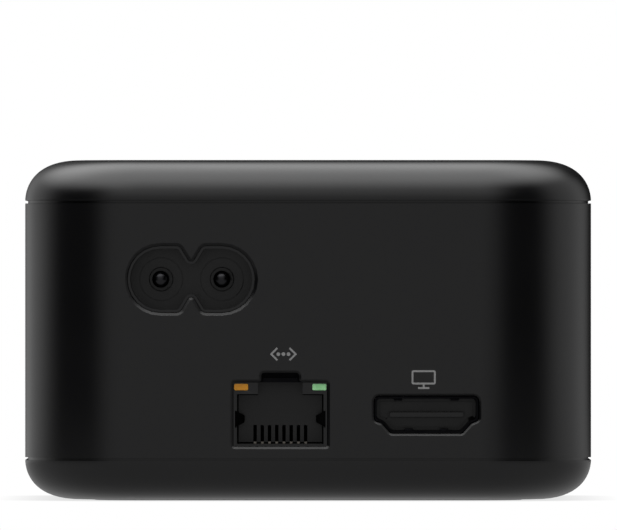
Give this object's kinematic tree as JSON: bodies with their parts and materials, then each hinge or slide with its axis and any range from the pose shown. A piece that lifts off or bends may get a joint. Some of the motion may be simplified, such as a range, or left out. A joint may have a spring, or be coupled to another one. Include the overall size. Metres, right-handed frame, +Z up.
{
  "type": "streaming media player",
  "caption": "Small black mains-powered streaming box with softly swept covers, a figure-eight mains inlet, a network jack and a display socket behind, and a recessed setup button underneath.",
  "frame": {"origin": "middle of the underside, on the surface that the foot rests on", "axes": "+Z up, the port face looks towards -Y, +X to the right as seen from behind the ports"},
  "size_m": [0.08, 0.08, 0.048],
  "materials": {
    "case_plastic": "satin",
    "silicone": "matte",
    "plated_steel": "satin",
    "brass": "satin",
    "ink": "matte",
    "smoked_window": "gloss",
    "connector_plastic": "satin",
    "pin_metal": "polished",
    "black_nickel": "satin",
    "contact_metal": "satin",
    "amber_guide": "satin",
    "green_guide": "satin",
    "circuit_board": "satin",
    "power_board_laminate": "satin",
    "chip_plastic": "matte",
    "ferrite": "matte",
    "thermal_pad": "matte",
    "bare_aluminium": "satin",
    "antenna_film": "satin",
    "lead_jacket": "satin",
    "light_package": "satin",
    "clear_guide": "polished",
    "button_plastic": "satin",
    "insulating_film": "satin",
    "yellow_box": "satin",
    "capacitor_sleeve": "satin",
    "winding_tape": "satin"
  },
  "bodies": {
    "casing": {"top_cover": "case_plastic", "sleeve": "case_plastic", "bottom_cover": "case_plastic", "foot_ring": "silicone", "case_screws": "plated_steel", "threaded_inserts": "brass", "network_pictogram": "ink", "display_pictogram": "ink", "front_window": "smoked_window", "mains_inlet_body": "connector_plastic", "mains_pins": "pin_metal", "network_jack_housing": "connector_plastic", "network_jack_shield": "black_nickel", "network_contacts": "contact_metal", "amber_light_guide": "amber_guide", "green_light_guide": "green_guide", "display_socket_shell": "black_nickel", "display_socket_insulator": "connector_plastic", "display_contacts": "contact_metal", "main_board": "circuit_board", "processor": "chip_plastic", "memory_chips": "chip_plastic", "storage_chip": "chip_plastic", "power_inductors": "ferrite", "network_transformer": "chip_plastic", "shield_frame": "plated_steel", "shield_lid": "plated_steel", "thermal_pad": "thermal_pad", "lid_pad": "thermal_pad", "heat_sink": "bare_aluminium", "wireless_module": "plated_steel", "coax_plugs": "brass", "antennas": "antenna_film", "antenna_leads": "lead_jacket", "infrared_receiver": "smoked_window", "status_light": "light_package", "status_light_guide": "clear_guide", "switch_base": "connector_plastic", "power_board": "power_board_laminate", "board_screws": "plated_steel", "insulating_sheet": "insulating_film", "power_riser": "connector_plastic", "power_riser_pins": "brass", "fuse": "plated_steel", "line_filter_choke": "ferrite", "suppression_capacitor": "yellow_box", "bridge_rectifier": "chip_plastic", "storage_capacitors": "capacitor_sleeve", "transformer_core": "ferrite", "transformer_winding": "winding_tape", "power_controller": "chip_plastic", "output_capacitors": "capacitor_sleeve"},
    "setup_button": {"setup_button": "button_plastic", "switch_plunger": "light_package"}
  },
  "joints": [
    {"name": "setup_press", "type": "slide", "parent": "casing", "child": "setup_button", "axis": [0, 0, 1], "range_m": [0, 0.00025], "stiffness_N_per_m": 4000}
  ]
}
